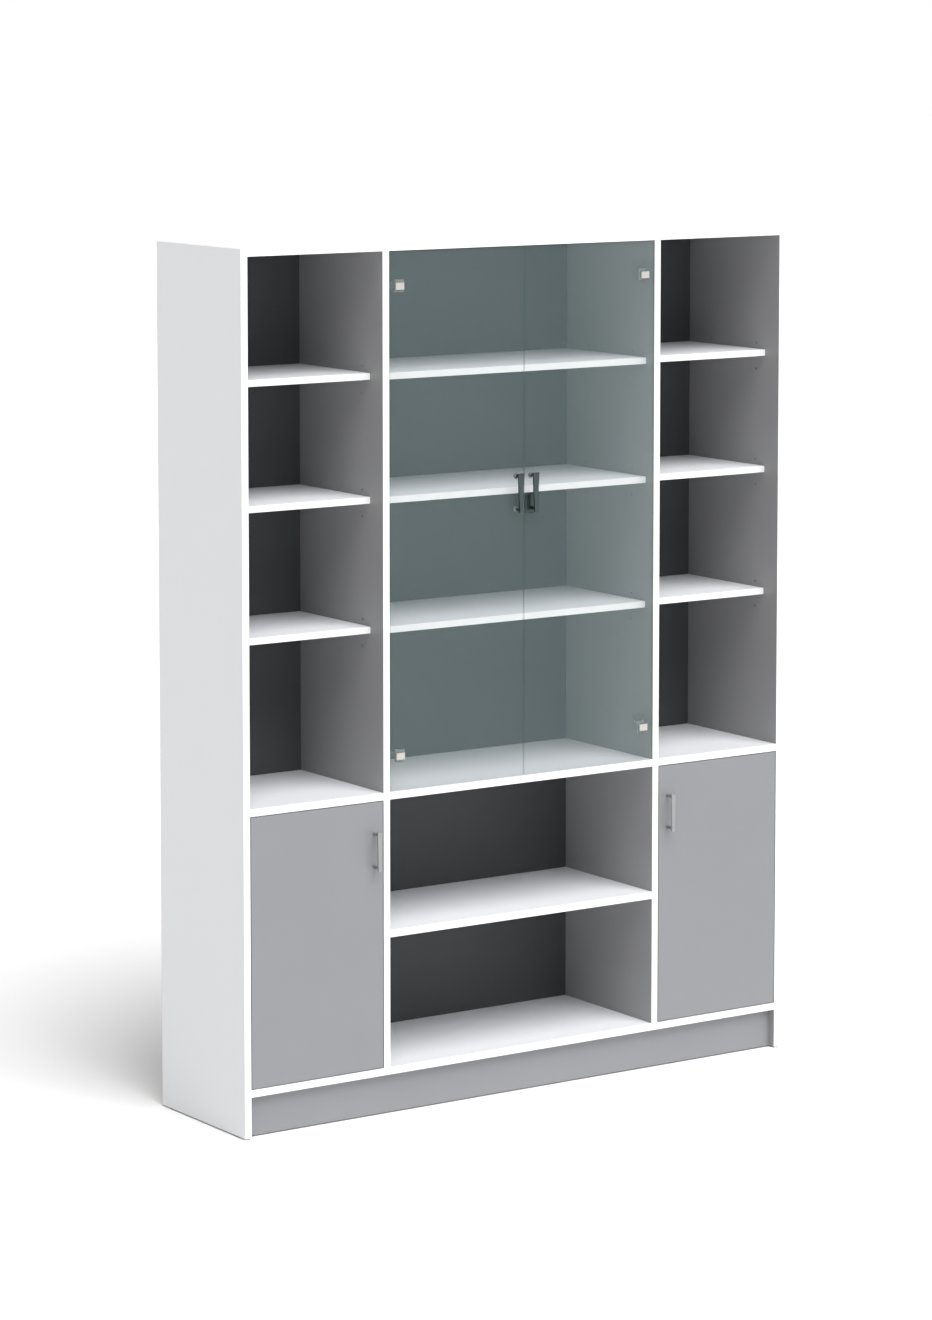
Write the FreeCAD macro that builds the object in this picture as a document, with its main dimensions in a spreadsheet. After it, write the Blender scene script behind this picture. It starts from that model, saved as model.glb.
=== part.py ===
"""Tall office bookcase: three bays, two glass doors above and two cupboard doors below.

Millimetres, +Z up, +X to the viewer's right, the doors face -Y. The origin is on the floor, in the
middle of the width and of the whole depth from the pulls' faces to the carcass's back edge.
"""
import FreeCAD, Part
import os
import re

import Sketcher

# ---------------------------------------------------------------------------------------------
# Driving dimensions, one cell each
# ---------------------------------------------------------------------------------------------
SIZES = {
    # carcass
    "width": 1600,
    "height": 2100,
    "depth": 385,
    "board": 18,
    "band": 1,
    "band_round": 0.6,
    "bay_pitch": 400,
    "plinth_height": 100,
    "plinth_setback": 20,
    "plinth_rear_setback": 22,
    "counter_level": 770,
    "lower_level": 435,
    # adjustable shelves: undersides as shares of the room above the counter, and how far they stand back
    "shelf_board": 16,
    "low_share": 0.2921,
    "mid_share": 0.5332,
    "high_share": 0.762,
    "shelf_end_gap": 1,
    "shelf_back_gap": 0.5,
    "side_setback": 55,
    "swing_gap": 1.5,
    # back panels and their grooves
    "back_board": 6,
    "back_inset": 8,
    "groove_depth": 6,
    "groove_play": 0.5,
    # glides under the uprights
    "glide_height": 3,
    "glide_radius": 8,
    "glide_inset": 40,
    # shelf pins
    "pin_radius": 2.5,
    "pin_seat": 8,
    "pin_reach": 8,
    "pin_step": 32,
    "pin_row": 92,
    # cam fittings and dowels
    "cam_radius": 7.5,
    "cam_height": 12.5,
    "cam_distance": 24,
    "bolt_radius": 3,
    "bolt_seat": 11,
    "cam_row": 60,
    "cam_row_middle": 110,
    "dowel_radius": 4,
    "dowel_seat": 12,
    "dowel_reach": 18,
    "dowel_row": 75,
    # cupboard doors
    "door_board": 18,
    "door_gap": 2,
    "door_round": 1,
    "pivot_offset": 22,
    "pivot_depth": 8.5,
    "pivot_radius": 3,
    "pivot_seat": 12,
    "pivot_collar": 5,
    "pivot_play": 0.05,
    "bush_radius": 6,
    "bush_length": 12,
    "bush_floor": 1,
    "running_gap": 0.3,
    # magnetic catches
    "catch_offset": 30,
    "catch_length": 46,
    "catch_depth": 15,
    "catch_height": 14,
    "strike_board": 1.2,
    "strike_margin": 3,
    # glass doors
    "glass": 5,
    "glass_gap": 2.5,
    "glass_arris": 0.4,
    "knuckle_offset": 24.5,
    "knuckle_depth": 9.5,
    "knuckle_radius": 4,
    "knuckle_width": 12,
    "hinge_pin_radius": 2,
    "hinge_inset": 84,
    "hinge_height": 30,
    "leaf_board": 2.5,
    "leaf_length": 17,
    "cap_offset": 30,
    "cap_width": 24,
    "cap_height": 17,
    "cap_board": 2.2,
    "cap_round": 1,
    "boss_offset": 36,
    "boss_radius": 5.5,
    "boss_play": 0.5,
    "arm_board": 3.5,
    "arm_reach": 44,
    "bracket_board": 2.5,
    "bracket_length": 40,
    "bracket_height": 40,
    "bracket_screw_inset": 10,
    # pulls and their screws
    "projection": 28,
    "pull_length": 96,
    "pull_top_width": 13,
    "pull_foot_width": 9,
    "pull_board": 6,
    "pull_round": 1.5,
    "glass_pull_projection": 20,
    "glass_pull_top_width": 18,
    "glass_pull_foot_width": 8.5,
    "post_radius": 4,
    "post_spacing": 80,
    "post_bore": 12,
    "cupboard_pull_offset": 28,
    "cupboard_pull_drop": 118,
    "glass_pull_offset": 22,
    "glass_pull_level": 1484,
    "screw_radius": 2,
    "screw_head_radius": 4,
    "screw_head": 2.5,
    "screw_length": 14,
    "screw_play": 0.5,
    "washer_radius": 7,
    "washer_board": 1,
    # plate under the lower foot of the right glass door's pull
    "plate_width": 39,
    "plate_height": 45,
    "plate_board": 1.5,
    "plate_level": 1455.5,
    "plate_play": 0.1,
}

# What follows from the driving dimensions, each written once
DERIVED = {
    "front": "(projection - depth) / 2",
    "back": "front + depth",
    "board_front": "front + band",
    "outer_x": "width / 2",
    "inner_x": "outer_x - board",
    "divider_in": "bay_pitch - board / 2",
    "divider_out": "bay_pitch + board / 2",
    "roof": "height - board",
    "floor": "plinth_height + board",
    "back_face": "back - back_inset - back_board",
    "shelf_rear": "back_face - shelf_back_gap",
    "middle_setback": "knuckle_depth + knuckle_offset - glass_gap + swing_gap",
    "pin_front": "front + pin_row",
    "pin_rear": "back_face - pin_row",
    "plinth_face": "front + plinth_setback",
    "plinth_rear_face": "back - plinth_rear_setback",
    # cupboard doors: opening edges, hinge line and door edges
    "door_low": "floor + door_gap",
    "door_high": "counter_level - door_gap",
    "door_inner_x": "divider_out + door_gap",
    "door_outer_x": "inner_x - door_gap",
    "door_middle_x": "(door_inner_x + door_outer_x) / 2",
    "pivot_x": "door_outer_x - pivot_offset",
    "pivot_y": "front + pivot_depth",
    "door_back": "front + door_board",
    "cupboard_pull_x": "divider_out + cupboard_pull_offset",
    "cupboard_pull_z": "counter_level - cupboard_pull_drop",
    # adjustable shelves' undersides, spread over the room between the counter and the top panel
    "counter": "counter_level + board",
    "shelf_low": "counter + low_share * (roof - counter)",
    "shelf_mid": "counter + mid_share * (roof - counter)",
    "shelf_high": "counter + high_share * (roof - counter)",
    # glass doors: opening edges, hinge line and pane edges
    "pane_low": "counter + glass_gap",
    "pane_high": "roof - glass_gap",
    "pane_inner_x": "glass_gap / 2",
    "pane_outer_x": "divider_in - glass_gap",
    "pane_middle_x": "(pane_inner_x + pane_outer_x) / 2",
    "pane_back": "front + glass",
    "knuckle_x": "divider_in - knuckle_offset",
    "knuckle_y": "front + knuckle_depth",
    "cap_x": "divider_in - cap_offset",
    "boss_x": "divider_in - boss_offset",
    "hinge_low": "counter + hinge_inset",
    "hinge_high": "roof - hinge_inset",
    "leaf_back": "pane_back + leaf_board",
    "leaf_x": "knuckle_x - knuckle_radius",
}

SHEET = "Sizes"
PART_FOLDER = "parts"
MAX_NAME = 60
WORD = re.compile(r"[a-z][a-z_]*[a-z]")

document = FreeCAD.newDocument("Bookcase")
sheet = document.addObject("Spreadsheet::Sheet", SHEET)
for row, (alias, value) in enumerate(SIZES.items(), start=1):
    sheet.set(f"A{row}", alias)
    sheet.set(f"B{row}", str(value))
    sheet.setAlias(f"B{row}", alias)
document.recompute()

nodes = []


# ---------------------------------------------------------------------------------------------
# Formulas and document objects
# ---------------------------------------------------------------------------------------------
def formula(text):
    """Write out a formula: a size becomes its cell, and a derived name becomes its own formula."""
    def written_out(match):
        word = match.group(0)
        if word in DERIVED:
            return "(" + formula(DERIVED[word]) + ")"
        return f"{SHEET}.{word}" if word in SIZES else word
    return WORD.sub(written_out, text)


def size(alias):
    """The value of one driving dimension, read from its cell."""
    return float(sheet.get(alias))


def bind(item, properties):
    """Tie an object's properties to formulas."""
    for name, text in properties.items():
        item.setExpression(name, formula(text))


def place(item, x, y, z):
    """Tie an object's place to formulas."""
    bind(item, {"Placement.Base.x": x, "Placement.Base.y": y, "Placement.Base.z": z})


def box(name, x, y, z):
    """A block between two formulas on each axis."""
    block = document.addObject("Part::Box", name)
    lengths = {"Length": x, "Width": y, "Height": z}
    bind(block, {side: f"({high}) - ({low})" for side, (low, high) in lengths.items()})
    place(block, x[0], y[0], z[0])
    return block


def rod(name, axis, span, at, radius):
    """A cylinder along one axis, between two formulas, at the other two coordinates."""
    turns = {
        "x": FreeCAD.Rotation(FreeCAD.Vector(0, 1, 0), 90),
        "y": FreeCAD.Rotation(FreeCAD.Vector(1, 0, 0), -90),
        "z": FreeCAD.Rotation(),
    }
    cylinder = document.addObject("Part::Cylinder", name)
    cylinder.Placement = FreeCAD.Placement(FreeCAD.Vector(), turns[axis])
    bind(cylinder, {"Radius": radius, "Height": f"({span[1]}) - ({span[0]})"})
    corner = list(at)
    corner.insert("xyz".index(axis), span[0])
    place(cylinder, *corner)
    return cylinder


def fuse(name, shapes):
    """One solid from several that touch or overlap."""
    fusion = document.addObject("Part::MultiFuse", name)
    fusion.Shapes = shapes
    return fusion


def gather(name, shapes):
    """Separate solids kept together as one object."""
    bundle = document.addObject("Part::Compound", name)
    bundle.Links = shapes
    return bundle


def cut(name, base, tools):
    """A solid with tools taken out of it."""
    result = document.addObject("Part::Cut", name)
    result.Base = base
    result.Tool = tools[0] if len(tools) == 1 else gather(name + "_tools", tools)
    return result


def node(label, item):
    """Name a finished sub-part and list it for writing."""
    item.Label = label
    nodes.append(item)
    return item


def outward(side, near, far):
    """The X span between two distances from the middle plane, on the left or the right."""
    return (near, far) if side == "right" else (f"-({far})", f"-({near})")


def across(side, distance):
    """The X coordinate of a distance from the middle plane, on the left or the right."""
    return distance if side == "right" else f"-({distance})"


# ---------------------------------------------------------------------------------------------
# Sketched pieces
# ---------------------------------------------------------------------------------------------
def origin_plane(body, role):
    """One of a body's own origin planes."""
    return next(plane for plane in body.Origin.OriginFeatures if plane.Role == role)


def front_sketch(body, name, lift="0"):
    """A sketch seen from the front, lifted towards the viewer."""
    sketch = body.newObject("Sketcher::SketchObject", name)
    sketch.AttachmentSupport = [(origin_plane(body, "XZ_Plane"), "")]
    sketch.MapMode = "FlatFace"
    bind(sketch, {"AttachmentOffset.Base.z": lift})
    return sketch


def draw_trapezium(sketch, top_width, foot_width, length):
    """A trapezium centred on the origin, with its widths and height bound to formulas."""
    corners = [(-4, 10), (4, 10), (3, -10), (-3, -10)]
    points = [FreeCAD.Vector(x, z, 0) for x, z in corners]
    for start, end in zip(points, points[1:] + points[:1]):
        sketch.addGeometry(Part.LineSegment(start, end))
    top, right, foot, left = range(4)
    for first, second in ((top, right), (right, foot), (foot, left), (left, top)):
        sketch.addConstraint(Sketcher.Constraint("Coincident", first, 2, second, 1))
    vertical_axis = -2
    sketch.addConstraint(Sketcher.Constraint("Symmetric", top, 1, top, 2, vertical_axis))
    sketch.addConstraint(Sketcher.Constraint("Symmetric", foot, 1, foot, 2, vertical_axis))
    measures = [
        ("top_width", ("DistanceX", top, 1, top, 2, 8), top_width),
        ("foot_width", ("DistanceX", foot, 2, foot, 1, 6), foot_width),
        ("rise", ("DistanceY", -1, 1, top, 1, 10), f"({length}) / 2"),
        ("drop", ("DistanceY", foot, 1, -1, 1, 10), f"({length}) / 2"),
    ]
    for name, constraint, text in measures:
        index = sketch.addConstraint(Sketcher.Constraint(*constraint))
        sketch.renameConstraint(index, name)
        bind(sketch, {f"Constraints.{name}": text})


def draw_circle_pair(sketch, radius, spacing):
    """Two equal circles above and below the origin."""
    origin_point, centre = (-1, 1), 3
    normal = FreeCAD.Vector(0, 0, 1)
    for index, name in enumerate(("upper", "lower")):
        height = 20 if name == "upper" else -20
        sketch.addGeometry(Part.Circle(FreeCAD.Vector(0, height, 0), normal, 3))
        sketch.addConstraint(Sketcher.Constraint("PointOnObject", index, centre, -2))
        rise = sketch.addConstraint(Sketcher.Constraint("DistanceY", *origin_point, index, centre, height))
        sketch.renameConstraint(rise, f"{name}_height")
        turned = "" if name == "upper" else "-"
        bind(sketch, {f"Constraints.{name}_height": f"{turned}({spacing}) / 2"})
        width = sketch.addConstraint(Sketcher.Constraint("Radius", index, 3))
        sketch.renameConstraint(width, f"{name}_radius")
        bind(sketch, {f"Constraints.{name}_radius": radius})


def pad(body, sketch, name, length, backwards=False):
    """A pad of a front sketch, towards the viewer or into the object."""
    feature = body.newObject("PartDesign::Pad", name)
    feature.Profile = sketch
    feature.Reversed = backwards
    bind(feature, {"Length": length})
    sketch.Visibility = False
    return feature


def front_edges(shape, depth):
    """The names of a shape's edges that lie at one depth, facing the viewer."""
    names = []
    for index, edge in enumerate(shape.Edges, start=1):
        if all(abs(vertex.Y - depth) < 1e-6 for vertex in edge.Vertexes):
            names.append(f"Edge{index}")
    return names


def dress_front(body, feature, kind, depth, amount):
    """Round or bevel the rim of the front face of a feature."""
    document.recompute()
    dressing = body.newObject(f"PartDesign::{kind}", f"{body.Name}_{kind}")
    dressing.Base = (feature, front_edges(feature.Shape, depth))
    bind(dressing, {"Radius" if kind == "Fillet" else "Size": amount})
    return dressing


def plate(name, width, height, thickness, kind, amount):
    """A flat plate whose front rim is rounded or bevelled, drawn about its front face's middle."""
    body = document.addObject("PartDesign::Body", name)
    sketch = front_sketch(body, name + "_outline")
    draw_trapezium(sketch, width, width, height)
    slab = pad(body, sketch, name + "_slab", thickness, backwards=True)
    dress_front(body, slab, kind, 0, amount)
    return body


# ---------------------------------------------------------------------------------------------
# Carcass
# ---------------------------------------------------------------------------------------------
BAYS = {
    "left": ("-inner_x", "-divider_out"),
    "middle": ("-divider_in", "divider_in"),
    "right": ("divider_out", "inner_x"),
}
BAY_UPRIGHTS = {
    "left": ("side_panel_left", "divider_left"),
    "middle": ("divider_left", "divider_right"),
    "right": ("divider_right", "side_panel_right"),
    "whole": ("side_panel_left", "side_panel_right"),
}
UPRIGHTS = {
    "side_panel_left": (outward("left", "inner_x", "outer_x"), ("glide_height", "height")),
    "divider_left": (outward("left", "divider_in", "divider_out"), ("floor", "roof")),
    "divider_right": (outward("right", "divider_in", "divider_out"), ("floor", "roof")),
    "side_panel_right": (outward("right", "inner_x", "outer_x"), ("glide_height", "height")),
}
SHELF_LEVELS = {"low": "shelf_low", "middle": "shelf_mid", "high": "shelf_high"}
SETBACKS = {"left": "side_setback", "middle": "middle_setback", "right": "side_setback"}
WHOLE = ("-inner_x", "inner_x")
CARCASS_DEPTH = ("board_front", "back")
FIXED_DEPTH = ("board_front", "back_face")
BAND_DEPTH = ("front", "board_front")

upright_tools = {name: [] for name in UPRIGHTS}
edge_bands = []
cam_locks = []
cam_bolts = []
dowels = []


def add_band(name, x, depth, z, long_axis):
    """An edge band, kept with the axis that it runs along."""
    edge_bands.append((box(f"{name}_band", x, depth, z), long_axis))


def cam_joint(name, span, rows, underside, uprights):
    """Cam fittings at both ends of a fixed board. Returns the tools that its bores need."""
    tools = []
    middle = f"{underside} + board / 2"
    ends = ((span[0], 1, uprights[0]), (span[1], -1, uprights[1]))
    for end, (face, inward, upright) in enumerate(ends):
        for place_in_row, depth in enumerate(rows):
            tag = f"{name}_{end}_{place_in_row}"
            seat = f"{face} - {inward} * bolt_seat"
            axis = f"{face} + {inward} * cam_distance"
            shank = (seat, axis) if inward > 0 else (axis, seat)
            hole = (seat, face) if inward > 0 else (face, seat)
            bore = (underside, f"{underside} + cam_height")
            bolt_tool = rod(f"{tag}_shank", "x", shank, (depth, middle), "bolt_radius")
            bolt = rod(f"{tag}_bolt", "x", shank, (depth, middle), "bolt_radius")
            cam_tool = rod(f"{tag}_bore", "z", bore, (axis, depth), "cam_radius")
            cam = rod(f"{tag}_cam", "z", bore, (axis, depth), "cam_radius")
            tools.append(fuse(f"{tag}_bores", [bolt_tool, cam_tool]))
            cam_bolts.append(bolt)
            cam_locks.append(cut(f"{tag}_lock", cam, [bolt_tool]))
            upright_tools[upright].append(
                rod(f"{tag}_hole", "x", hole, (depth, middle), "bolt_radius"))
    return tools


def dowel(name, axis, span, at):
    """A dowel, and the tool for its two holes."""
    dowels.append(rod(f"{name}_dowel", axis, span, at, "dowel_radius"))
    return rod(f"{name}_dowel_hole", axis, span, at, "dowel_radius")


def groove(name, x, z):
    """The groove that takes a back panel's edge."""
    return box(f"{name}_groove", x, ("back_face", "back_face + back_board"), z)


def shelf_pin_holes(bay, pins):
    """Rows of pin holes on both sides of a bay, and a pin in the middle hole of each row."""
    (low_x, high_x), sides = BAYS[bay], BAY_UPRIGHTS[bay]
    for shelf, level in SHELF_LEVELS.items():
        for row in ("pin_front", "pin_rear"):
            for step in (-1, 0, 1):
                centre = f"{level} - pin_radius + {step} * pin_step"
                tag = f"{bay}_{shelf}_{row}_{step + 1}"
                left_hole = (f"{low_x} - pin_seat", low_x)
                right_hole = (high_x, f"{high_x} + pin_seat")
                for upright, span in zip(sides, (left_hole, right_hole)):
                    upright_tools[upright].append(
                        rod(f"{tag}_{upright}", "x", span, (row, centre), "pin_radius"))
            pin_height = f"{level} - pin_radius"
            left_pin = (f"{low_x} - pin_seat", f"{low_x} + pin_reach")
            right_pin = (f"{high_x} - pin_reach", f"{high_x} + pin_seat")
            for upright, span in zip(sides, (left_pin, right_pin)):
                pins.append(rod(f"{bay}_{shelf}_{row}_{upright}_pin", "x", span,
                                (row, pin_height), "pin_radius"))


def build_shelves():
    """Fixed and adjustable shelves with their pins and fittings."""
    fixed = {
        "fixed_shelf_left": ("left", "counter_level"),
        "fixed_shelf_middle": ("middle", "counter_level"),
        "fixed_shelf_right": ("right", "counter_level"),
        "lower_shelf_middle": ("middle", "lower_level"),
    }
    rows = {"left": "cam_row", "middle": "cam_row_middle", "right": "cam_row"}
    for name, (bay, level) in fixed.items():
        depths = (f"front + {rows[bay]}", f"back_face - {rows[bay]}")
        tools = cam_joint(name, BAYS[bay], depths, level, BAY_UPRIGHTS[bay])
        if bay != "middle":
            tools.append(pivot_hole(bay, "upper"))
        board = box(f"{name}_board", BAYS[bay], FIXED_DEPTH, (level, f"{level} + board"))
        node(name, cut(f"{name}_cut", board, tools))
        add_band(name, BAYS[bay], BAND_DEPTH, (level, f"{level} + board"), "x")
    pins = []
    for bay, (low_x, high_x) in BAYS.items():
        shelf_front = f"front + {SETBACKS[bay]}"
        x = (f"{low_x} + shelf_end_gap", f"{high_x} - shelf_end_gap")
        for shelf, level in SHELF_LEVELS.items():
            z = (level, f"{level} + shelf_board")
            name = f"shelf_{bay}_{shelf}"
            node(name, box(name, x, (f"{shelf_front} + band", "shelf_rear"), z))
            add_band(name, x, (shelf_front, f"{shelf_front} + band"), z, "x")
        shelf_pin_holes(bay, pins)
    node("shelf_pins", gather("shelf_pins", pins))


def build_top_and_bottom():
    """The top and bottom panels, grooved for the backs, between the side panels."""
    panels = {
        "top_panel": ("roof", ("roof", "roof + groove_depth")),
        "bottom_panel": ("plinth_height", ("floor - groove_depth", "floor")),
    }
    for name, (level, groove_z) in panels.items():
        depths = ("front + cam_row", "back_face - cam_row")
        tools = cam_joint(name, WHOLE, depths, level, BAY_UPRIGHTS["whole"])
        tools.append(groove(name, WHOLE, groove_z))
        joint = "roof" if name == "top_panel" else "floor"
        into, out = ("dowel_seat", "dowel_reach") if name == "top_panel" else ("dowel_reach", "dowel_seat")
        for side in ("left", "right"):
            for row, depth in (("a", "front + dowel_row"), ("b", "back_face - dowel_row")):
                span = (f"{joint} - {out}", f"{joint} + {into}")
                hole = dowel(f"{name}_{side}_{row}", "z", span, (across(side, "bay_pitch"), depth))
                tools.append(hole)
                upright_tools[f"divider_{side}"].append(hole)
        if name == "bottom_panel":
            tools += [pivot_hole("left", "lower"), pivot_hole("right", "lower")]
        z = (level, f"{level} + board")
        node(name, cut(f"{name}_cut", box(f"{name}_board", WHOLE, CARCASS_DEPTH, z), tools))
        add_band(name, WHOLE, BAND_DEPTH, z, "x")


def build_plinth():
    """Front and rear plinth rails dowelled to the sides, braces between them, and glides."""
    height = ("glide_height", "plinth_height")
    rails = {
        "plinth_front": ("plinth_face", "plinth_face + board"),
        "plinth_rear": ("plinth_rear_face - board", "plinth_rear_face"),
    }
    for name, depth in rails.items():
        tools = []
        middle = (f"({depth[0]} + {depth[1]}) / 2", "(glide_height + plinth_height) / 2")
        for side in ("left", "right"):
            span = outward(side, "inner_x - dowel_reach", "inner_x + dowel_seat")
            hole = dowel(f"{name}_{side}", "x", span, middle)
            tools.append(hole)
            upright_tools[f"side_panel_{side}"].append(hole)
        node(name, cut(f"{name}_cut", box(f"{name}_board", WHOLE, depth, height), tools))
    braces, glides = [], []
    between = ("plinth_face + board", "plinth_rear_face - board")
    for side in ("left", "right"):
        span = outward(side, "divider_in", "divider_out")
        braces.append(box(f"brace_{side}", span, between, height))
        seats = {
            "side": (across(side, "outer_x - board / 2"), "front + glide_inset", "back - glide_inset"),
            "brace": (across(side, "bay_pitch"), "front + 2 * glide_inset", "back - 2 * glide_inset"),
        }
        for seat, (x, near, far) in seats.items():
            for row, y in (("near", near), ("far", far)):
                glides.append(rod(f"glide_{seat}_{side}_{row}", "z", ("0", "glide_height"), (x, y),
                                  "glide_radius"))
    node("plinth_braces", gather("plinth_braces", braces))
    node("glides", gather("glides", glides))


def build_backs():
    """Thin back panels, let into grooves on all four sides."""
    reach = "groove_depth - groove_play"
    for bay, (low_x, high_x) in BAYS.items():
        x = (f"{low_x} - ({reach})", f"{high_x} + {reach}")
        z = (f"floor - ({reach})", f"roof + {reach}")
        name = f"back_panel_{bay}"
        node(name, box(name, x, ("back_face", "back_face + back_board"), z))
        height = ("floor - groove_depth", "roof + groove_depth")
        grooves = ((f"{low_x} - groove_depth", low_x), (high_x, f"{high_x} + groove_depth"))
        for upright, span in zip(BAY_UPRIGHTS[bay], grooves):
            upright_tools[upright].append(groove(f"{bay}_{upright}", span, height))


def build_uprights():
    """Side panels and dividers, bored for everything that meets them."""
    for name, (x, z) in UPRIGHTS.items():
        board = box(f"{name}_board", x, CARCASS_DEPTH, z)
        node(name, cut(f"{name}_cut", board, upright_tools[name]))
        add_band(name, x, BAND_DEPTH, z, "z")


def build_fittings():
    """The grouped small parts of the carcass."""
    node("cam_locks", gather("cam_locks", cam_locks))
    node("cam_bolts", gather("cam_bolts", cam_bolts))
    node("dowels", gather("dowels", dowels))
    document.recompute()
    rounded = []
    for band, long_axis in edge_bands:
        direction = {"x": FreeCAD.Vector(1, 0, 0), "z": FreeCAD.Vector(0, 0, 1)}[long_axis]
        front = band.Shape.BoundBox.YMin
        chosen = []
        for index, edge in enumerate(band.Shape.Edges, start=1):
            start, end = (vertex.Point for vertex in edge.Vertexes)
            along = (end - start).cross(direction).Length < 1e-6
            if along and abs(start.y - front) < 1e-6:
                chosen.append((index, size("band_round"), size("band_round")))
        fillet = document.addObject("Part::Fillet", f"{band.Name}_rounded")
        fillet.Base = band
        fillet.Edges = chosen
        rounded.append(fillet)
    node("edge_bands", gather("edge_bands", rounded))


# ---------------------------------------------------------------------------------------------
# Pulls
# ---------------------------------------------------------------------------------------------
def build_pull(name, x, z, projection, top_width, foot_width):
    """A tapered bar on two posts, drawn about the door's face and bored for its screws."""
    body = document.addObject("PartDesign::Body", name)
    outline = front_sketch(body, name + "_outline", f"{projection} - pull_board")
    draw_trapezium(outline, top_width, foot_width, "pull_length")
    bar = pad(body, outline, name + "_bar", "pull_board")
    feet = front_sketch(body, name + "_feet")
    draw_circle_pair(feet, "post_radius", "post_spacing")
    pad(body, feet, name + "_posts", f"{projection} - pull_board")
    bores = front_sketch(body, name + "_bores")
    draw_circle_pair(bores, "screw_radius", "post_spacing")
    document.recompute()
    solid_volume = body.Shape.Volume
    pocket = body.newObject("PartDesign::Pocket", name + "_pocket")
    pocket.Profile = bores
    pocket.Reversed = True
    bind(pocket, {"Length": "post_bore"})
    document.recompute()
    if body.Shape.Volume >= solid_volume:
        raise RuntimeError(f"{name}: the screw bores cut nothing")
    dress_front(body, pocket, "Fillet", -size(projection), "pull_round")
    place(body, x, "front", z)
    return node(name, body)


def pull_screws(name, x, z, door_back):
    """Two screws through a door into the posts, with their heads behind the door."""
    screws = []
    for end, step in (("upper", 1), ("lower", -1)):
        height = f"{z} + {step} * post_spacing / 2"
        shank_span = (f"{door_back} - screw_length", door_back)
        shank = rod(f"{name}_{end}_shank", "y", shank_span, (x, height), "screw_radius")
        head_span = (door_back, f"{door_back} + screw_head")
        head = rod(f"{name}_{end}_head", "y", head_span, (x, height), "screw_head_radius")
        screws.append(fuse(f"{name}_{end}", [shank, head]))
    return node(name, gather(name, screws))


def pull_holes(name, x, z, depth, radius):
    """The tools for the two screw holes in a door."""
    return [rod(f"{name}_hole_{end}", "y", depth, (x, f"{z} + {step} * post_spacing / 2"), radius)
            for end, step in (("upper", 1), ("lower", -1))]


# ---------------------------------------------------------------------------------------------
# Cupboard doors
# ---------------------------------------------------------------------------------------------
def pivot_hole(side, end):
    """The hole in the carcass that a pivot pin is driven into."""
    if end == "lower":
        span = ("floor - pivot_seat", "floor")
    else:
        span = ("counter_level", "counter_level + pivot_seat")
    at = (across(side, "pivot_x"), "pivot_y")
    return rod(f"pivot_seat_{side}_{end}", "z", span, at, "pivot_radius")


def build_pivot(side, end):
    """A pivot pin in the carcass, its collar, the bush in the door, and the bush's hole."""
    at = (across(side, "pivot_x"), "pivot_y")
    if end == "lower":
        pin = ("floor - pivot_seat", "door_low + bush_length - bush_floor")
        collar = ("floor", "door_low - running_gap")
        bush = ("door_low", "door_low + bush_length")
    else:
        pin = ("door_high - bush_length + bush_floor", "counter_level + pivot_seat")
        collar = ("door_high + running_gap", "counter_level")
        bush = ("door_high - bush_length", "door_high")
    tag = f"pivot_{side}_{end}"
    shank = rod(f"{tag}_shank", "z", pin, at, "pivot_radius")
    ring = rod(f"{tag}_collar", "z", collar, at, "pivot_collar")
    sleeve = rod(f"{tag}_sleeve", "z", bush, at, "bush_radius")
    bore = rod(f"{tag}_bore", "z", bush, at, "pivot_radius + pivot_play")
    hole = rod(f"{tag}_hole", "z", bush, at, "bush_radius")
    return fuse(f"{tag}_pin", [shank, ring]), cut(f"{tag}_bush", sleeve, [bore]), hole


def build_cupboard_doors():
    """Two flush doors on pivot pins at their outer edges, held shut by magnetic catches."""
    pins, catches = [], []
    for side in ("left", "right"):
        name = f"cupboard_door_{side}"
        x, z = across(side, "cupboard_pull_x"), "cupboard_pull_z"
        pivots = [build_pivot(side, end) for end in ("lower", "upper")]
        pins += [pin for pin, bush, hole in pivots]
        tools = [hole for pin, bush, hole in pivots]
        tools += pull_holes(name, x, z, ("front", "door_back"), "screw_radius")
        board = plate(f"{name}_board", "door_outer_x - door_inner_x", "door_high - door_low",
                      "door_board", "Fillet", "door_round")
        place(board, across(side, "door_middle_x"), "front", "(door_low + door_high) / 2")
        node(name, cut(f"{name}_cut", board, tools))
        node(f"pivot_bushes_{side}", gather(f"pivot_bushes_{side}", [b for p, b, h in pivots]))
        build_pull(f"cupboard_pull_{side}", x, z, "projection", "pull_top_width", "pull_foot_width")
        pull_screws(f"cupboard_pull_screws_{side}", x, z, "door_back")

        near, far = "divider_out + catch_offset", "divider_out + catch_offset + catch_length"
        strike_x = outward(side, f"{near} + strike_margin", f"{far} - strike_margin")
        strike_z = ("counter_level - catch_height", "door_high - strike_margin / 2")
        strike_y = ("door_back", "door_back + strike_board")
        node(f"catch_strike_{side}", box(f"catch_strike_{side}", strike_x, strike_y, strike_z))
        catch_front = "door_back + strike_board + running_gap"
        catch_y = (catch_front, f"{catch_front} + catch_depth")
        catch_z = ("counter_level - catch_height", "counter_level")
        catches.append(box(f"catch_{side}", outward(side, near, far), catch_y, catch_z))
    node("pivot_pins", gather("pivot_pins", pins))
    node("magnetic_catches", gather("magnetic_catches", catches))


# ---------------------------------------------------------------------------------------------
# Glass doors
# ---------------------------------------------------------------------------------------------
HINGE_LEVELS = {"lower": "hinge_low", "upper": "hinge_high"}


def around(level, height):
    """The Z span of a height centred on a level."""
    return (f"{level} - ({height}) / 2", f"{level} + ({height}) / 2")


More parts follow.
